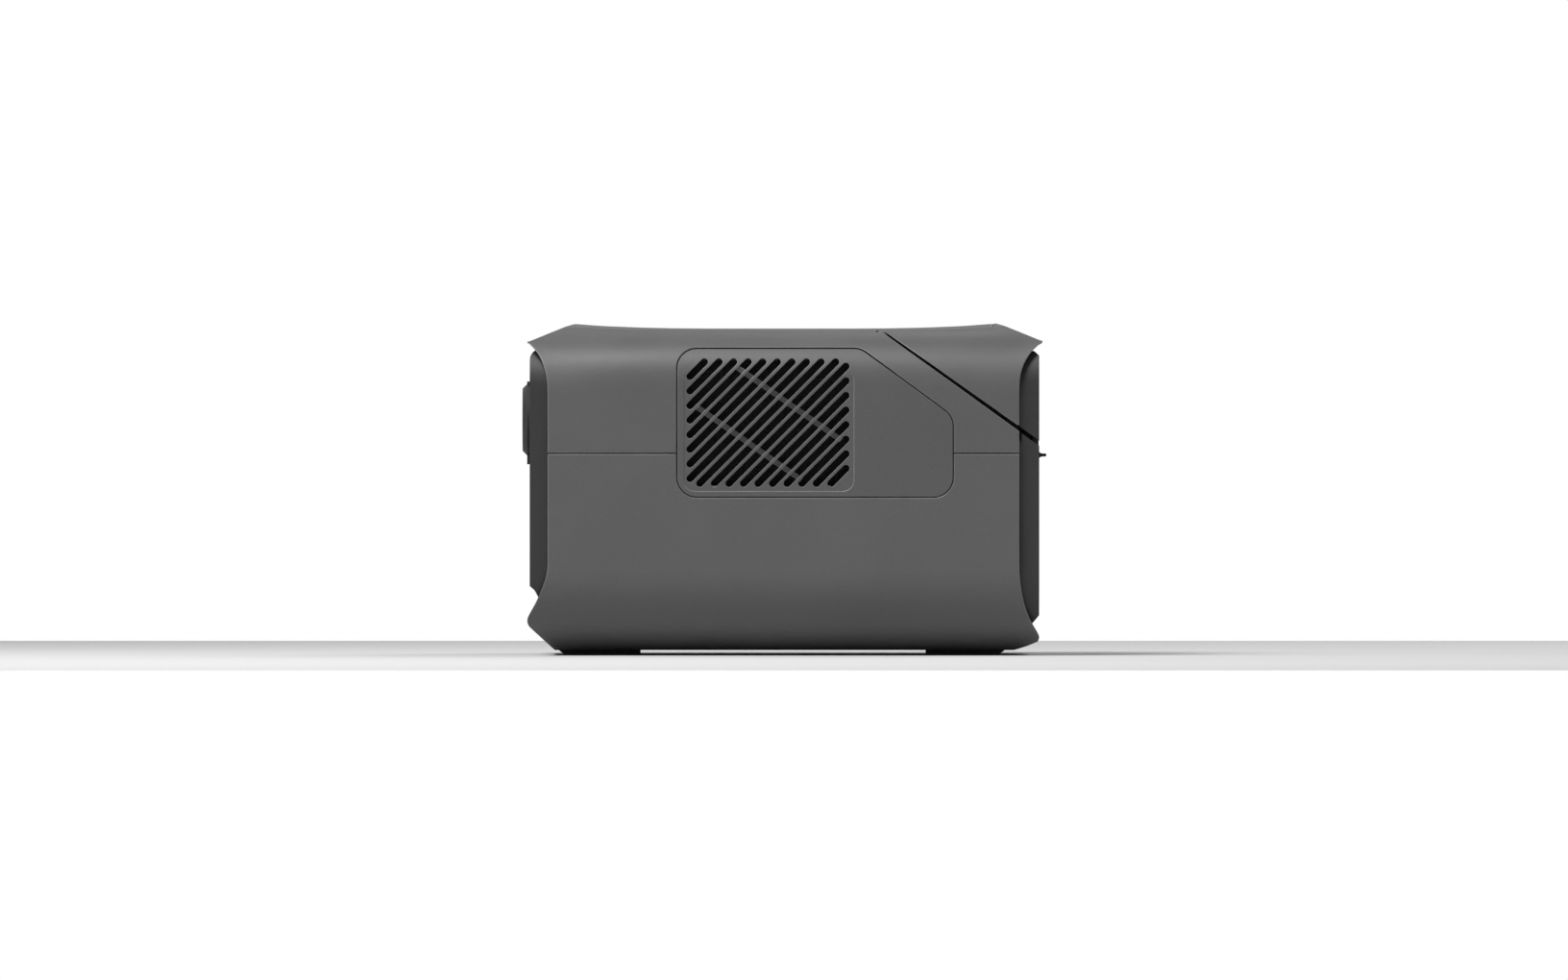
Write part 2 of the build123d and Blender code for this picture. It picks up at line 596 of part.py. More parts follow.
def car_socket_contact():
    y1 = FACE_Y + 0.2 + SOCKET_DEPTH
    stud = rod_y(CAP_X, CAP_Z, 3.0, y1 + 0.5, y1 + 9)
    return stud + rod_y(CAP_X, CAP_Z, SOCKET_OUT_R - 0.4, y1, y1 + 2.0)


def car_socket_cap():
    disc = Pos(CAP_X, 0, CAP_Z) * along_y(Circle(CAP_FLANGE_R), CAP_FACE_Y, CAP_BACK_Y)
    edge = disc.edges().filter_by(GeomType.CIRCLE).sort_by(Axis.Y)[0]
    disc = chamfer(edge, CAP_FLANGE_R - CAP_FACE_R)
    tab = box(CAP_X - 6, CAP_X + 6, -113.4, -112.25, 83.9, CAP_AXIS_Z + 0.6)
    neck = box(CAP_X - 3.2, CAP_X + 3.2, -112.4, CAP_AXIS_Y, CAP_AXIS_Z - 0.7, CAP_AXIS_Z + 0.6)
    neck += rod_x(CAP_AXIS_Y, CAP_AXIS_Z, 0.7, CAP_X - 3.2, CAP_X + 3.2)
    plug = rod_y(CAP_X, CAP_Z, 8.5, CAP_BACK_Y - 0.2, CAP_BACK_Y + 4.4)
    return disc + tab + neck + plug


def cap_anchor():
    stem = box(CAP_X - 3.8, CAP_X + 3.8, FACE_Y + 0.6, FACE_Y + PANEL_THICK + 0.3,
               CAP_AXIS_Z - 0.9, CAP_AXIS_Z + 0.9)
    barb = box(CAP_X - 5, CAP_X + 5, FACE_Y + PANEL_THICK + 0.1, FACE_Y + PANEL_THICK + 1.8,
               CAP_AXIS_Z - 1.1, CAP_AXIS_Z + 2)
    return stem + barb


def light_lens():
    sketch = polygon([(-108.7, 28.0), (-105.0, 28.0), (-103.4, 23.5), (-106.2, 23.5)])
    bar = along_x(sketch, -LIGHT_HALF + 0.2, LIGHT_HALF - 0.2)
    return bar & box(-REACH, REACH, -112, -90, 23.7, 27.8)


def light_board():
    strip = box(-LIGHT_HALF + 1, LIGHT_HALF - 1, -100.8, -99.4, 20.5, 31.0)
    chips = [box(x - 1.6, x + 1.6, -101.6, -100.7, 24.2, 27.4) for x in range(-50, 51, 10)]
    return strip + chips


# ---------------------------------------------------------------- rear panel and what it carries

FLAP_X0 = 22.0
FLAP_X1 = 62.0
FLAP_Z0 = 82.0
FLAP_Z1 = 105.0
FLAP_AXIS_Z = 104.0
FLAP_AXIS_Y = 112.0
TAB_Z = 87.9
INLET_X = -62.0
INLET_Z = 92.0
RESET_X = -62.0
RESET_Z = 62.0
PLATE_X0 = -20.0
PLATE_X1 = 74.0
PLATE_Z0 = 26.9
PLATE_Z1 = 53.7


def rear_profile(step):
    y = BACK_Y - step
    return polygon([
        (y, BACK_BOTTOM_Z),
        (y, BACK_TOP_Z - 2.0 - step),
        (y - 2.2, BACK_TOP_Z - step),
        (104.7, BACK_TOP_Z - step),
        (104.7, 131.0 - step),
        (BACK_SKIRT_Y, 131.0 - step),
        (BACK_SKIRT_Y, BASE_Z + 3.4 + step),
        (100.5 - step, BASE_Z + 3.4 + step),
        (y - 3.0, 14.0),
    ])


def rear_panel(panel_tube, panel_inner):
    shell = panel_tube & along_x(rear_profile(0.0), -REACH, REACH)
    hollow = panel_inner & along_x(rear_profile(PANEL_THICK), -REACH, REACH)
    hollow += panel_inner & box(-REACH, REACH, BACK_SKIRT_Y - 2, BACK_SKIRT_Y + 4, 9, TOP_Z - 15.7)
    panel = shell - hollow
    panel -= both_sides(arm_room(WALL + FIT) & box(0, 2 * REACH, 40, REAR_RIM_Y + 0.9, 60, ROOF_Z))
    panel -= both_sides(arm_room(0.0))
    y0 = BACK_Y
    panel -= box(FLAP_X0 - 0.4, FLAP_X1 + 0.4, y0 - 1.9, y0 + 1, FLAP_Z0 - 0.4, FLAP_Z1 + 0.9)
    panel -= box(FLAP_X0 + 6, FLAP_X1 - 6, y0 - 8, y0 + 1, FLAP_Z0 + 4, FLAP_Z1 - 4)
    panel -= box(INLET_X - 14.2, INLET_X + 14.2, y0 - 8, y0 + 1, INLET_Z - 10.2, INLET_Z + 10.2)
    panel -= rod_y(RESET_X, RESET_Z, 5.0 + BUTTON_GAP, y0 - 8, y0 + 1)
    panel -= along_y(Pos((PLATE_X0 + PLATE_X1) / 2, (PLATE_Z0 + PLATE_Z1) / 2)
                     * RectangleRounded(PLATE_X1 - PLATE_X0 + 0.6, PLATE_Z1 - PLATE_Z0 + 0.6, 4.2), y0 - 1.5, y0 + 1)
    return panel - box(4, 50, y0 - 8, y0 + 1, 32, 49)


def handle_inserts(outer, panel_tube):
    # dark pieces on the back of the arms that carry on the rear panel's face
    zone = along_x(above_seam(SEAM_HALF_LOW, SEAM_HALF_LOW, REACH), CHEEK_X + SIDE_GAP, REACH)
    blank = panel_tube & along_x(rear_profile(0.0), -REACH, REACH)
    piece = (blank & zone & box(0, 2 * REACH, REAR_RIM_Y, 140, 60, BAR_Z - BAR_UNDER - 0.4)) - outer
    return solids_of(both_sides(max(piece.solids(), key=lambda one: one.volume)))


def rear_flap():
    t = 1.5
    plate = box(FLAP_X0, FLAP_X1, BACK_Y - t, BACK_Y, FLAP_Z0, FLAP_AXIS_Z)
    barrel = rod_x(BACK_Y - t / 2, FLAP_AXIS_Z, t / 2, FLAP_X0, FLAP_X1)
    tip = 116.0
    half = 0.68
    base = 2.65
    left = (FLAP_X0 + FLAP_X1) / 2 - 8
    right = (FLAP_X0 + FLAP_X1) / 2 + 8
    edges = [
        Line((BACK_Y - 0.2, TAB_Z - base), (BACK_Y - 0.2, TAB_Z + base)),
        ThreePointArc((BACK_Y - 0.2, TAB_Z + base), (BACK_Y + 0.75, TAB_Z + 1.15), (BACK_Y + 2.0, TAB_Z + half)),
        Line((BACK_Y + 2.0, TAB_Z + half), (tip - 0.5, TAB_Z + half)),
        ThreePointArc((tip - 0.5, TAB_Z + half), (tip, TAB_Z), (tip - 0.5, TAB_Z - half)),
        Line((tip - 0.5, TAB_Z - half), (BACK_Y + 2.0, TAB_Z - half)),
        ThreePointArc((BACK_Y + 2.0, TAB_Z - half), (BACK_Y + 0.75, TAB_Z - 1.15), (BACK_Y - 0.2, TAB_Z - base)),
    ]
    return plate + barrel + along_x(make_face(edges), left, right)


def dc_input_port():
    x = (FLAP_X0 + FLAP_X1) / 2
    z = (FLAP_Z0 + FLAP_Z1) / 2
    flange = box(x - 16, x + 16, BACK_Y - 6.2, BACK_Y - PANEL_THICK - 0.1, z - 10.5, z + 10.5)
    body = box(x - 12, x + 12, BACK_Y - 24, BACK_Y - 6, z - 7, z + 7)
    body += flange
    body -= box(x - 9, x + 9, BACK_Y - 16, BACK_Y, z - 4.5, z + 4.5)
    pins = [rod_y(x + s * 4.0, z, 1.7, BACK_Y - 18, BACK_Y - 7) for s in (-1, 1)]
    return body + pins


def ac_inlet():
    x = INLET_X
    z = INLET_Z
    body = box(x - 14, x + 14, BACK_Y - 26, BACK_Y + 0.0, z - 10, z + 10)
    body += box(x - 17, x + 17, BACK_Y - 5.4, BACK_Y - PANEL_THICK - 0.1, z - 13, z + 13)
    cavity = polygon([(-12.2, -8.2), (12.2, -8.2), (12.2, 4.2), (8.2, 8.2), (-8.2, 8.2), (-12.2, 4.2)])
    body -= along_y(Pos(x, z) * cavity, BACK_Y - 20, BACK_Y + 1)
    for dx, dz in ((-7.0, -1.0), (7.0, -1.0), (0.0, 3.0)):
        body -= box(x + dx - 1.0, x + dx + 1.0, BACK_Y - 30, BACK_Y - 15, z + dz - 2.0, z + dz + 2.0)
    return body


def ac_inlet_pins():
    x = INLET_X
    z = INLET_Z
    pins = []
    for dx, dz in ((-7.0, -1.0), (7.0, -1.0), (0.0, 3.0)):
        pins.append(box(x + dx - 0.98, x + dx + 0.98, BACK_Y - 31, BACK_Y - 4.5, z + dz - 1.98, z + dz + 1.98))
    return pins


def reset_button():
    dome = rod_y(RESET_X, RESET_Z, 5.0, BACK_Y - 3.6, BACK_Y + 0.2)
    flange = rod_y(RESET_X, RESET_Z, 6.4, BACK_Y - PANEL_THICK - 1.35, BACK_Y - PANEL_THICK - 0.35)
    return dome + flange + rod_y(RESET_X, RESET_Z, 1.5, BACK_Y - PANEL_THICK - 3.6, BACK_Y - PANEL_THICK - 1.2)


def rear_cover_plate():
    w = PLATE_X1 - PLATE_X0
    h = PLATE_Z1 - PLATE_Z0
    x = (PLATE_X0 + PLATE_X1) / 2
    z = (PLATE_Z0 + PLATE_Z1) / 2
    plate = along_y(Pos(x, z) * RectangleRounded(w, h, 4), BACK_Y - 1.45, BACK_Y + 0.25)
    for s in (-1, 1):
        plate -= rod_y(x + s * (w / 2 - 6), z, 2.9, BACK_Y - 0.9, BACK_Y + 1)
        plate -= rod_y(x + s * (w / 2 - 6), z, 1.6, BACK_Y - 3, BACK_Y + 1)
    return plate


def cover_screws():
    x = (PLATE_X0 + PLATE_X1) / 2
    z = (PLATE_Z0 + PLATE_Z1) / 2
    group = []
    for s in (-1, 1):
        px = x + s * ((PLATE_X1 - PLATE_X0) / 2 - 6)
        head = rod_y(px, z, 2.7, BACK_Y - 0.88, BACK_Y + 0.1)
        slot = Pos(px, BACK_Y + 0.1, z) * Box(3.2, 1.0, 0.7) + Pos(px, BACK_Y + 0.1, z) * Box(0.7, 1.0, 3.2)
        group.append(head - slot + rod_y(px, z, 1.4, BACK_Y - 1.4, BACK_Y - 0.8))
    return group


def expansion_port():
    body = box(6, 48, BACK_Y - 22, BACK_Y - PANEL_THICK - 0.1, 33.5, 47.5)
    body += box(0, 54, BACK_Y - 6, BACK_Y - PANEL_THICK - 0.1, 29.5, 51.5)
    body += box(6, 48, BACK_Y - PANEL_THICK - 0.2, BACK_Y - 1.6, 33.5, 47.5)
    body -= box(8, 46, BACK_Y - 12, BACK_Y, 35.5, 45.5)
    blades = [box(x - 0.6, x + 0.6, BACK_Y - 14, BACK_Y - 4, 38, 43) for x in range(12, 43, 5)]
    return body + blades


# ---------------------------------------------------------------- fans

def fan_frame():
    x1 = FAN_FACE_X
    x0 = x1 - FAN_DEPTH
    h = FAN_SIZE / 2
    frame = along_x(Pos(FAN_Y, FAN_Z) * RectangleRounded(FAN_SIZE, FAN_SIZE, 4), x0, x1)
    frame -= rod_x(FAN_Y, FAN_Z, FAN_BLADE_R + FAN_TIP_GAP, x0 - 1, x1 + 1)
    spokes = Sketch()
    for k in range(4):
        spokes += Rot(0, 0, 45 + 90 * k) * Pos(h / 2 + 2, 0) * Rectangle(h - 2, 3.0)
    stator = along_x(Pos(FAN_Y, FAN_Z) * (spokes + Circle(FAN_HUB_R - 1)), x0, x0 + 2.2)
    stator &= rod_x(FAN_Y, FAN_Z, h, x0 - 1, x0 + 3)
    frame += stator
    frame -= rod_x(FAN_Y, FAN_Z, FAN_SHAFT_R + 0.05, x0 - 1, x0 + 4)
    for a in (-1, 1):
        for b in (-1, 1):
            frame -= rod_x(FAN_Y + a * 25, FAN_Z + b * 25, 2.0, x0 - 1, x1 + 1)
    return frame


def fan_rotor():
    x1 = FAN_FACE_X
    x0 = x1 - FAN_DEPTH
    hub = rod_x(FAN_Y, FAN_Z, FAN_HUB_R, x0 + 2.9, x1 - 1.0)
    hub -= rod_x(FAN_Y, FAN_Z, FAN_HUB_R - 1.5, x0 + 2.0, x1 - 3.0)
    hub += rod_x(FAN_Y, FAN_Z, FAN_SHAFT_R, x0 + 0.2, x1 - 2.0)
    ring = FAN_BLADE_R - FAN_HUB_R
    rotor = hub
    for k in range(FAN_BLADES):
        blade = Pos(0, 0, FAN_HUB_R + ring / 2 - 0.25) * Rot(0, 0, 38) * Box(1.4, 8.6, ring + 0.5)
        placed = Pos((x0 + x1) / 2 + 0.9, FAN_Y, FAN_Z) * Rot(360.0 / FAN_BLADES * k, 0, 0) * blade
        rotor += placed
    return rotor & rod_x(FAN_Y, FAN_Z, FAN_BLADE_R, x0, x1)


def fan_screws():
    group = []
    for a in (-1, 1):
        for b in (-1, 1):
            y = FAN_Y + a * 25
            z = FAN_Z + b * 25
            shaft = rod_x(y, z, 1.7, FAN_FACE_X - FAN_DEPTH, FAN_FACE_X + 0.1)
            group.append(shaft + rod_x(y, z, 2.8, FAN_FACE_X + 0.02, FAN_FACE_X + 1.2))
    return group


def dust_filter():
    y = (FIELD_Y0 + FIELD_Y1) / 2
    z = (FIELD_Z0 + FIELD_Z1) / 2
    sheet = Pos(y, z) * RectangleRounded(FIELD_Y1 - FIELD_Y0 + 2, FIELD_Z1 - FIELD_Z0 - 5.0, 3)
    return along_x(sheet, FAN_FACE_X + 1.3, FAN_FACE_X + 1.3 + FILTER_THICK)


# ---------------------------------------------------------------- battery and boards

def cell_at(row, column):
    x = (column - (CELL_COLUMNS - 1) / 2) * CELL_PITCH
    y = CELLS_Y + (row - (CELL_ROWS - 1) / 2) * CELL_PITCH
    return x, y


def cell_row(row):
    group = []
    for column in range(CELL_COLUMNS):
        x, y = cell_at(row, column)
        can = rod_z(x, y, CELL_R, CELL_Z, CELL_Z + CELL_LEN - 1.4)
        group.append(can + rod_z(x, y, 4.5, CELL_Z + CELL_LEN - 1.5, CELL_Z + CELL_LEN))
    return group


def cell_tray(z0, z1, upper):
    wx = CELL_COLUMNS * CELL_PITCH / 2 + 1.0
    wy = CELL_ROWS * CELL_PITCH / 2 + 1.0
    tray = box(-wx, wx, CELLS_Y - wy, CELLS_Y + wy, z0, z1)
    for row in range(CELL_ROWS):
        for column in range(CELL_COLUMNS):
            x, y = cell_at(row, column)
            if upper:
                tray -= rod_z(x, y, CELL_R + CELL_CLEAR, z0 - 1, z1 - 2.2)
                tray -= rod_z(x, y, 6.0, z0 - 1, z1 + 1)
            else:
                tray -= rod_z(x, y, CELL_R + CELL_CLEAR, z0 + 2.2, z1 + 1)
                tray -= rod_z(x, y, 6.0, z0 - 1, z1 + 1)
    if not upper:
        for x, y, top in cradle_posts():
            side = 1 if x > 0 else -1
            tray += box(min(x, side * (wx - 0.5)), max(x, side * (wx - 0.5)), y - 4, y + 4, z0 + 4.5, z0 + 7.5)
            tray += rod_z(x, y, 4.0, z0 + 4.5, z0 + 7.5)
            tray -= rod_z(x, y, 1.6, z0 + 3, z0 + 9)
    return tray


def tray_screws():
    group = []
    for x, y, top in cradle_posts():
        z0 = CELL_Z + 2.1
        group.append(rod_z(x, y, 2.8, z0 + 3.02, z0 + 5.2) + rod_z(x, y, 1.2, z0 - 3.5, z0 + 3.1))
    return group


def bus_bars():
    z = CELL_Z + CELL_LEN + 1.05
    bars = []
    for row in range(CELL_ROWS):
        x0, y = cell_at(row, 0)
        x1, _ = cell_at(row, CELL_COLUMNS - 1)
        bars.append(box(x0 - 8, x1 + 8, y - 4, y + 4, z, z + 0.4))
    return bars


def bms_board():
    board = box(-70, 70, CELLS_Y - 46, CELLS_Y + 46, 84.5, 86.1)
    for k in range(6):
        board += box(-60 + 20 * k, -50 + 20 * k, CELLS_Y - 40, CELLS_Y - 28, 86.0, 90.0)
    board += box(40, 66, CELLS_Y + 20, CELLS_Y + 40, 86.0, 93.0)
    return board


def inverter_board():
    return box(-78, 86, -56, 66, 97.0, 98.6)


def heat_sink():
    sink = box(-76, -44, -54, 48, 98.7, 102.0)
    for k in range(8):
        x = -75 + k * 4.3
        sink += box(x, x + 1.2, -54, 48, 101.9, 124)
    return sink


def transformer():
    core = box(-40, -6, 8, 46, 98.7, 122)
    core -= box(-33, -13, 7, 14, 102, 119)
    core -= box(-33, -13, 40, 47, 102, 119)
    winding = box(-32.6, -13.4, 9, 45, 102.4, 118.6)
    return core + winding


def capacitors():
    group = []
    for k in range(4):
        group.append(rod_z(10 + 19 * k, 40, 8, 98.7, 128))
    for k in range(5):
        group.append(rod_z(8 + 15 * k, -46, 6, 98.7, 120))
    return group


def port_board():
    board = box(-104, -34, FACE_Y + 21, FACE_Y + 22.6, 58, 80)
    for x, z in USB_A_AT:
        board += box(x - 6, x + 6, FACE_Y + 17.3, FACE_Y + 21.1, z - 3, z + 3)
    return board


# ---------------------------------------------------------------- assembly

def build():
    outer = block()
    cavity = tube(WALL)
    panel_tube = tube(PANEL_INSET)
    panel_inner = tube(PANEL_INSET + 2.6)
    lap_out = tube(WALL + 0.35)
    lap_in = tube(WALL + 0.35 + LAP_THICK)
    body = case_body(outer, cavity)
    hole = both_sides(along_x(vent_outline(VENT_GROOVE), SIDE_IN, REACH))
    body = body - hole
    parts = {}
    parts["upper_shell"] = upper_shell(body, cavity, outer)
    parts["lower_shell"] = lower_shell(body, cavity, outer, lap_out, lap_in)
    cover = vent_cover(outer, tube(VENT_PLATE), tube(WALL + 0.3), tube(WALL + 1.8))
    parts["vent_cover_right"] = cover
    parts["vent_cover_left"] = mirror(cover, Plane.YZ)
    parts["dust_filter_right"] = dust_filter()
    parts["dust_filter_left"] = mirror(dust_filter(), Plane.YZ)
    parts.update(feet())
    parts["case_screws"] = case_screws()
    parts["handle_frame"] = handle_frame(outer, cavity)
    parts["handle_grip"] = handle_grip()
    parts["handle_inserts"] = handle_inserts(outer, panel_tube)
    parts["handle_pins"] = [handle_pin(), mirror(handle_pin(), Plane.YZ)]
    parts["front_panel"] = front_panel(panel_tube, panel_inner)
    parts["display_window"] = display_window()
    parts["display_module"] = display_module()
    for name in BUTTONS:
        parts[name] = button(name)
    for k, (x, z) in enumerate(AC_AT):
        parts["ac_outlet_%d" % (k + 1)] = ac_outlet(x, z)
    for k, (x, z) in enumerate(USB_A_AT):
        parts["usb_a_port_%d" % (k + 1)] = usb_a_port(x, z)
    parts["usb_c_port"] = usb_c_port()
    parts["car_socket_shell"] = car_socket_shell()
    parts["car_socket_contact"] = car_socket_contact()
    parts["car_socket_cap"] = car_socket_cap()
    parts["cap_anchor"] = cap_anchor()
    parts["light_lens"] = light_lens()
    parts["light_board"] = light_board()
    parts["port_board"] = port_board()
    parts["rear_panel"] = rear_panel(panel_tube, panel_inner)
    parts["rear_flap"] = rear_flap()
    parts["dc_input_port"] = dc_input_port()
    parts["ac_inlet"] = ac_inlet()
    parts["ac_inlet_pins"] = ac_inlet_pins()
    parts["reset_button"] = reset_button()
    parts["rear_cover_plate"] = rear_cover_plate()
    parts["expansion_port"] = expansion_port()
    parts["fan_frame_right"] = fan_frame()
    parts["fan_frame_left"] = mirror(fan_frame(), Plane.YZ)
    parts["fan_rotor_right"] = fan_rotor()
    parts["fan_rotor_left"] = mirror(fan_rotor(), Plane.YZ)
    screws = fan_screws()
    screws += [mirror(s, Plane.YZ) for s in screws]
    parts["small_screws"] = screws + tray_screws() + cover_screws()
    for row in range(CELL_ROWS):
        parts["cell_row_%d" % (row + 1)] = cell_row(row)
    parts["cell_tray_lower"] = cell_tray(CELL_Z - 2.4, CELL_Z - 2.4 + TRAY_HEIGHT, False)
    upper_z = CELL_Z + CELL_LEN - 1.4 + 2.4
    parts["cell_tray_upper"] = cell_tray(upper_z - TRAY_HEIGHT, upper_z, True)
    parts["bus_bars"] = bus_bars()
    parts["bms_board"] = bms_board()
    parts["inverter_board"] = inverter_board()
    parts["heat_sink"] = heat_sink()
    parts["transformer"] = transformer()
    parts["capacitors"] = capacitors()
    return parts


def solids_of(item):
    if isinstance(item, list):
        found = []
        for one in item:
            found += solids_of(one)
        return found
    return list(item.solids())


os.makedirs("parts", exist_ok=True)
for name, item in build().items():
    found = solids_of(item)
    shape = found[0] if len(found) == 1 else Compound(children=found)
    export_step(shape, "parts/%s.step" % name)
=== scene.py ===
import bpy
import json
from math import radians
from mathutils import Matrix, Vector

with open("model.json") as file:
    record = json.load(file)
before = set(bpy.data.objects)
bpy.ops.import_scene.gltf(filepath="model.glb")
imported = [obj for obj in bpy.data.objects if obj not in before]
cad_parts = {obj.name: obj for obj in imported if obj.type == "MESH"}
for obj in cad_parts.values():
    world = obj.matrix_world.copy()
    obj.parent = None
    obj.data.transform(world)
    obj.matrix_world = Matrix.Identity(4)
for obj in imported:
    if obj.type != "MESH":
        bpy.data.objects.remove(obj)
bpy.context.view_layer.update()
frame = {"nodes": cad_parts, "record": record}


def srgb(v):
    v = v / 255.0
    return v / 12.92 if v <= 0.04045 else ((v + 0.055) / 1.055) ** 2.4


def grey(v):
    c = srgb(v)
    return (c, c, c, 1.0)


# share by which the flow mottling of moulded plastic goes darker and lighter
MOTTLE_SPREAD = 0.035


class Graph:
    """A material and short ways to add its nodes."""

    def __init__(self, name):
        self.mat = bpy.data.materials.new(name)
        self.mat.use_nodes = True
        self.tree = self.mat.node_tree
        self.nodes = self.tree.nodes
        self.bsdf = next(n for n in self.nodes if n.type == "BSDF_PRINCIPLED")
        self.coord = self.add("ShaderNodeTexCoord").outputs["Object"]

    def add(self, kind, **values):
        node = self.nodes.new(kind)
        for key, value in values.items():
            if key in node.inputs:
                node.inputs[key].default_value = value
            else:
                setattr(node, key, value)
        return node

    def link(self, a, b):
        self.tree.links.new(a, b)

    def noise(self, scale, detail=3.0, rough=0.55, stretch=None):
        node = self.add("ShaderNodeTexNoise", Scale=scale, Detail=detail, Roughness=rough)
        source = self.coord
        if stretch:
            mapping = self.add("ShaderNodeMapping")
            mapping.inputs["Scale"].default_value = stretch
            self.link(source, mapping.inputs["Vector"])
            source = mapping.outputs["Vector"]
        self.link(source, node.inputs["Vector"])
        return node.outputs["Fac"]

    def cells(self, scale):
        node = self.add("ShaderNodeTexVoronoi", Scale=scale)
        self.link(self.coord, node.inputs["Vector"])
        return node.outputs["Distance"]

    def span(self, value, lo, hi, to_lo, to_hi):
        node = self.add("ShaderNodeMapRange")
        for key, v in zip(("From Min", "From Max", "To Min", "To Max"), (lo, hi, to_lo, to_hi)):
            node.inputs[key].default_value = v
        self.link(value, node.inputs["Value"])
        return node.outputs["Result"]

    def mix(self, factor, a, b):
        node = self.add("ShaderNodeMix", data_type="RGBA")
        node.inputs[6].default_value = a if isinstance(a, tuple) else (0, 0, 0, 1)
        node.inputs[7].default_value = b if isinstance(b, tuple) else (0, 0, 0, 1)
        if not isinstance(a, tuple):
            self.link(a, node.inputs[6])
        if not isinstance(b, tuple):
            self.link(b, node.inputs[7])
        if isinstance(factor, float):
            node.inputs[0].default_value = factor
        else:
            self.link(factor, node.inputs[0])
        return node.outputs[2]

    def math(self, op, a, b=0.0):
        node = self.add("ShaderNodeMath", operation=op)
        for socket, v in zip(node.inputs, (a, b)):
            if isinstance(v, (int, float)):
                socket.default_value = v
            else:
                self.link(v, socket)
        return node.outputs[0]

    def edge(self, radius):
        """How strongly the surface turns within radius: 0 on a flat, towards 1 on a sharp edge."""
        bevel = self.add("ShaderNodeBevel", samples=6)
        bevel.inputs["Radius"].default_value = radius
        geometry = self.add("ShaderNodeNewGeometry")
        dot = self.add("ShaderNodeVectorMath", operation="DOT_PRODUCT")
        self.link(bevel.outputs["Normal"], dot.inputs[0])
        self.link(geometry.outputs["Normal"], dot.inputs[1])
        return bevel.outputs["Normal"], self.span(dot.outputs["Value"], 1.0, 0.75, 0.0, 1.0)

    def bump(self, height, strength, distance, normal=None):
        node = self.add("ShaderNodeBump", Strength=strength, Distance=distance)
        self.link(height, node.inputs["Height"])
        if normal is not None:
            self.link(normal, node.inputs["Normal"])
        return node.outputs["Normal"]

    def out(self, socket, name):
        self.link(socket, self.bsdf.inputs[name])


def moulded(name, value, rough, grain, edge_highlight_value, bevel):
    """Spark-textured moulded plastic: fine grain, faint flow mottling, and smoother edges with a painted
    highlight (edges painted lighter, broken up by noise).
    """
    g = Graph(name)
    normal, sharp_edge = g.edge(bevel)
    mottle = g.noise(18.0, 4.0)
    fine = g.noise(2600.0, 2.0, 0.6)
    pits = g.cells(1500.0)
    low = grey(value * (1 - MOTTLE_SPREAD))
    high = grey(value * (1 + MOTTLE_SPREAD))
    base = g.mix(g.span(mottle, 0.3, 0.7, 0.0, 1.0), low, high)
    speck = g.mix(g.span(fine, 0.42, 0.62, 0.0, 0.25), base, grey(value * 1.25))
    # painted highlight: sharp edges mixed towards a light grey, broken up by noise, standing in for the
    # light caught on rims
    edge_highlight = g.math("MULTIPLY", sharp_edge, g.span(g.noise(60.0, 5.0), 0.3, 0.75, 0.35, 1.0))
    g.out(g.mix(edge_highlight, speck, grey(edge_highlight_value)), "Base Color")
    dull = g.span(g.noise(35.0, 5.0), 0.3, 0.7, rough - 0.05, rough + 0.06)
    g.out(g.math("SUBTRACT", dull, g.math("MULTIPLY", edge_highlight, 0.12)), "Roughness")
    height = g.math("ADD", g.math("MULTIPLY", fine, 0.6), g.math("MULTIPLY", pits, 0.7))
    g.out(g.bump(height, grain, 0.00006, normal), "Normal")
    g.bsdf.inputs["Specular IOR Level"].default_value = 0.5
    return g.mat


def rubber(name, value):
    """Soft rubber: matte, a little sheen, dust settled in patches."""
    g = Graph(name)
    normal, sharp_edge = g.edge(0.0004)
    dust = g.span(g.noise(45.0, 6.0, 0.65), 0.48, 0.75, 0.0, 0.35)
    base = g.mix(dust, grey(value), grey(value * 1.7 + 8))
    # painted highlight: sharp edges mixed half-way towards a lighter grey
    g.out(g.mix(g.math("MULTIPLY", sharp_edge, 0.5), base, grey(value * 1.6 + 10)), "Base Color")
    g.out(g.span(g.noise(90.0, 4.0), 0.3, 0.7, 0.62, 0.8), "Roughness")
    g.out(g.bump(g.noise(1800.0, 3.0), 0.25, 0.00006, normal), "Normal")
    g.bsdf.inputs["Specular IOR Level"].default_value = 0.35
    g.bsdf.inputs["Sheen Weight"].default_value = 0.15
    return g.mat


def metal(name, colour, rough=0.32, stretch=(1.0, 1.0, 1.0), scale=900.0, dark=0.75):
    """Plated or brushed metal with fine scratches and slightly duller patches."""
    g = Graph(name)
    normal = g.edge(0.0002)[0]
    dim = tuple(c * dark for c in colour[:3]) + (1.0,)
    g.out(g.mix(g.span(g.noise(120.0, 5.0), 0.35, 0.7, 0.0, 1.0), colour, dim), "Base Color")
    g.out(g.span(g.noise(70.0, 5.0), 0.3, 0.7, rough - 0.07, rough + 0.1), "Roughness")
    g.out(g.bump(g.noise(scale, 3.0, 0.5, stretch), 0.2, 0.00003, normal), "Normal")
    g.bsdf.inputs["Metallic"].default_value = 1.0
    return g.mat


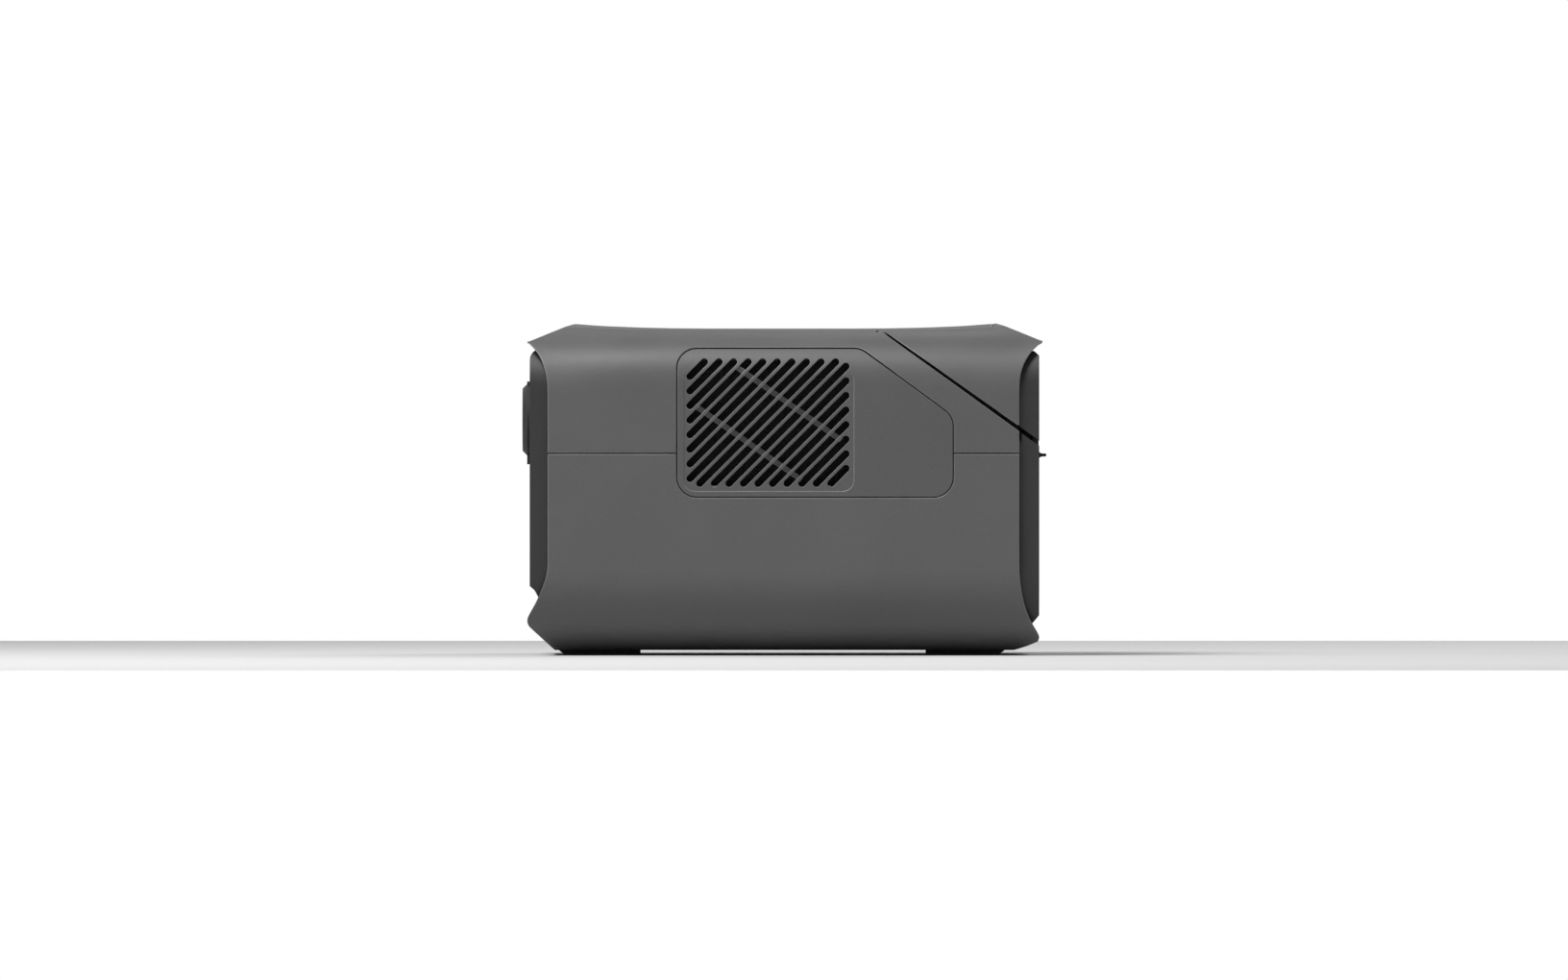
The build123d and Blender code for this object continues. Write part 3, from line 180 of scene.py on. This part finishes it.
def glass_black(name):
    """Smoked window, printed black from behind, with faint wipe marks."""
    g = Graph(name)
    normal = g.edge(0.0004)[0]
    smear = g.noise(26.0, 5.0, 0.6, (1.0, 1.0, 3.0))
    g.out(g.mix(g.span(smear, 0.3, 0.7, 0.0, 1.0), grey(14), grey(22)), "Base Color")
    g.out(g.span(smear, 0.35, 0.75, 0.06, 0.2), "Roughness")
    g.out(g.bump(g.noise(400.0, 2.0), 0.03, 0.00002, normal), "Normal")
    g.bsdf.inputs["Coat Weight"].default_value = 0.6
    g.bsdf.inputs["Coat Roughness"].default_value = 0.05
    return g.mat


def lens(name):
    """Frosted light bar with fine ribs across its length."""
    g = Graph(name)
    normal = g.edge(0.0003)[0]
    wave = g.add("ShaderNodeTexWave", Scale=180.0, Distortion=0.2)
    g.link(g.coord, wave.inputs["Vector"])
    g.out(g.mix(g.span(g.noise(80.0), 0.3, 0.7, 0.0, 1.0), grey(168), grey(190)), "Base Color")
    g.out(g.span(g.noise(200.0), 0.3, 0.7, 0.28, 0.4), "Roughness")
    g.out(g.bump(wave.outputs["Fac"], 0.3, 0.00015, normal), "Normal")
    g.bsdf.inputs["Transmission Weight"].default_value = 0.35
    g.bsdf.inputs["IOR"].default_value = 1.49
    return g.mat


def foam(name):
    """Open-cell dust filter."""
    g = Graph(name)
    hole = g.cells(900.0)
    g.out(g.mix(g.span(hole, 0.1, 0.5, 0.0, 1.0), grey(6), grey(30)), "Base Color")
    g.bsdf.inputs["Roughness"].default_value = 0.95
    g.out(g.bump(hole, 0.9, 0.0006), "Normal")
    return g.mat


def board(name):
    """Solder-masked board with a hint of tracks."""
    g = Graph(name)
    brick = g.add("ShaderNodeTexBrick", Scale=160.0)
    brick.inputs["Color1"].default_value = (0.012, 0.10, 0.05, 1)
    brick.inputs["Color2"].default_value = (0.018, 0.14, 0.07, 1)
    brick.inputs["Mortar"].default_value = (0.03, 0.22, 0.10, 1)
    g.link(g.coord, brick.inputs["Vector"])
    stain = g.span(g.noise(50.0), 0.3, 0.7, 0.0, 0.5)
    g.out(g.mix(stain, brick.outputs["Color"], (0.01, 0.08, 0.04, 1)), "Base Color")
    g.out(g.span(g.noise(200.0), 0.3, 0.7, 0.25, 0.4), "Roughness")
    g.out(g.bump(brick.outputs["Fac"], 0.3, 0.0001), "Normal")
    return g.mat


def sleeve(name, colour):
    """Shrink-wrapped sleeve, slightly wrinkled."""
    g = Graph(name)
    dark = tuple(c * 0.7 for c in colour[:3]) + (1.0,)
    g.out(g.mix(g.span(g.noise(40.0), 0.3, 0.7, 0.0, 1.0), colour, dark), "Base Color")
    g.out(g.span(g.noise(100.0), 0.3, 0.7, 0.28, 0.45), "Roughness")
    g.out(g.bump(g.noise(220.0, 4.0), 0.3, 0.0002), "Normal")
    return g.mat


LOOKS = {
    "shell_grey": moulded("shell_plastic", 80, 0.44, 0.3, 165, 0.0007),
    "cover_grey": moulded("cover_plastic", 76, 0.44, 0.3, 160, 0.0005),
    "panel_black": moulded("panel_plastic", 36, 0.42, 0.2, 62, 0.0006),
    "outlet_black": moulded("socket_plastic", 30, 0.34, 0.12, 58, 0.0003),
    "button_grey": moulded("key_plastic", 66, 0.38, 0.15, 104, 0.0004),
    "tray_black": moulded("tray_plastic", 34, 0.5, 0.3, 60, 0.0004),
    "rubber_dark": rubber("dark_rubber", 34),
    "foam_black": foam("filter_foam"),
    "steel": metal("zinc_steel", (0.50, 0.50, 0.52, 1), 0.32),
    "port_metal": metal("port_steel", (0.62, 0.62, 0.63, 1), 0.28, (1, 0.1, 1)),
    "brass_contact": metal("contact_brass", (0.72, 0.55, 0.28, 1), 0.3),
    "nickel": metal("nickel_strip", (0.66, 0.63, 0.57, 1), 0.3, (0.1, 1, 1)),
    "sink_aluminium": metal("extruded_aluminium", (0.78, 0.79, 0.80, 1), 0.35, (1, 0.05, 1)),
    "core_iron": metal("core_laminations", (0.18, 0.18, 0.19, 1), 0.5, (1, 1, 30), 300.0),
    "screen_glass": glass_black("smoked_window"),
    "screen_module": glass_black("display_panel"),
    "lens_clear": lens("frosted_lens"),
    "board_green": board("circuit_board"),
    "cell_blue": sleeve("cell_sleeve", (0.02, 0.10, 0.26, 1)),
    "capacitor_dark": sleeve("capacitor_sleeve", (0.02, 0.02, 0.05, 1)),
}

slots = {row["node"]: row["material_slot"] for row in frame["record"]["subparts"]}
for node, obj in frame["nodes"].items():
    look = LOOKS[slots[node]]
    if not obj.material_slots:
        obj.data.materials.append(look)
    for one in obj.material_slots:
        one.material = look

# ---- studio ----

FLOOR_GREY = 196
FLOOR_SIZE = (2.4, 4.0)
AIM = (0.0, 0.0, 0.08)
# width of the picture at the object, and the point in its centre
VIEW_WIDTH = 0.692
VIEW_CENTRE = (0.0006, 0.0725)
CEILING_LEVEL = 0.22
GROUND_LEVEL = 0.12


def plane(name, size):
    bpy.ops.mesh.primitive_plane_add(size=1.0)
    obj = bpy.context.object
    obj.name = name
    obj.scale = (size[0], size[1], 1.0)
    return obj


floor = plane("floor", FLOOR_SIZE)
ground = Graph("pale_floor")
cloud = ground.span(ground.noise(3.0), 0.3, 0.7, 0.0, 1.0)
ground.out(ground.mix(cloud, grey(FLOOR_GREY - 2), grey(FLOOR_GREY + 2)), "Base Color")
ground.bsdf.inputs["Roughness"].default_value = 0.85
floor.data.materials.append(ground.mat)


def studio_world():
    """White backdrop near the horizon, a dim ceiling above it and a darker ground below."""
    world = bpy.data.worlds.new("studio")
    world.use_nodes = True
    tree = world.node_tree
    coord = tree.nodes.new("ShaderNodeTexCoord")
    split = tree.nodes.new("ShaderNodeSeparateXYZ")
    ramp = tree.nodes.new("ShaderNodeValToRGB")
    tree.links.new(coord.outputs["Generated"], split.inputs[0])
    shift = tree.nodes.new("ShaderNodeMapRange")
    shift.inputs["From Min"].default_value = -1.0
    tree.links.new(split.outputs["Z"], shift.inputs["Value"])
    tree.links.new(shift.outputs["Result"], ramp.inputs["Fac"])
    stops = ((0.0, GROUND_LEVEL), (0.46, GROUND_LEVEL), (0.485, 1.0), (0.535, 1.0), (0.62, CEILING_LEVEL))
    bands = ramp.color_ramp.elements
    while len(bands) < len(stops):
        bands.new(0.5)
    for band, (place, level) in zip(bands, stops):
        band.position = place
        band.color = (level, level, level, 1.0)
    tree.links.new(ramp.outputs["Color"], tree.nodes["Background"].inputs["Color"])
    tree.nodes["Background"].inputs["Strength"].default_value = 1.0
    return world


bpy.context.scene.world = studio_world()


def softbox(name, place, side, power):
    data = bpy.data.lights.new(name, "AREA")
    data.shape = "RECTANGLE"
    data.size = side
    data.size_y = side
    data.energy = power
    obj = bpy.data.objects.new(name, data)
    bpy.context.scene.collection.objects.link(obj)
    obj.location = place
    aim = Vector(AIM) - Vector(place)
    obj.rotation_euler = aim.to_track_quat("-Z", "Y").to_euler()


softbox("key_light", (0.9, -0.7, 1.7), 0.9, 46.0)
softbox("back_light", (-1.3, 0.9, 1.5), 1.4, 18.0)

cam_data = bpy.data.cameras.new("camera")
cam_data.lens = 700.0
cam_data.sensor_width = 36.0
cam_data.clip_end = 200.0
cam = bpy.data.objects.new("camera", cam_data)
bpy.context.scene.collection.objects.link(cam)
cam_distance = VIEW_WIDTH * cam_data.lens / cam_data.sensor_width
cam.location = (cam_distance, *VIEW_CENTRE)
cam.rotation_euler = (radians(90), 0, radians(90))
bpy.context.scene.camera = cam
bpy.context.scene.view_settings.view_transform = "Standard"
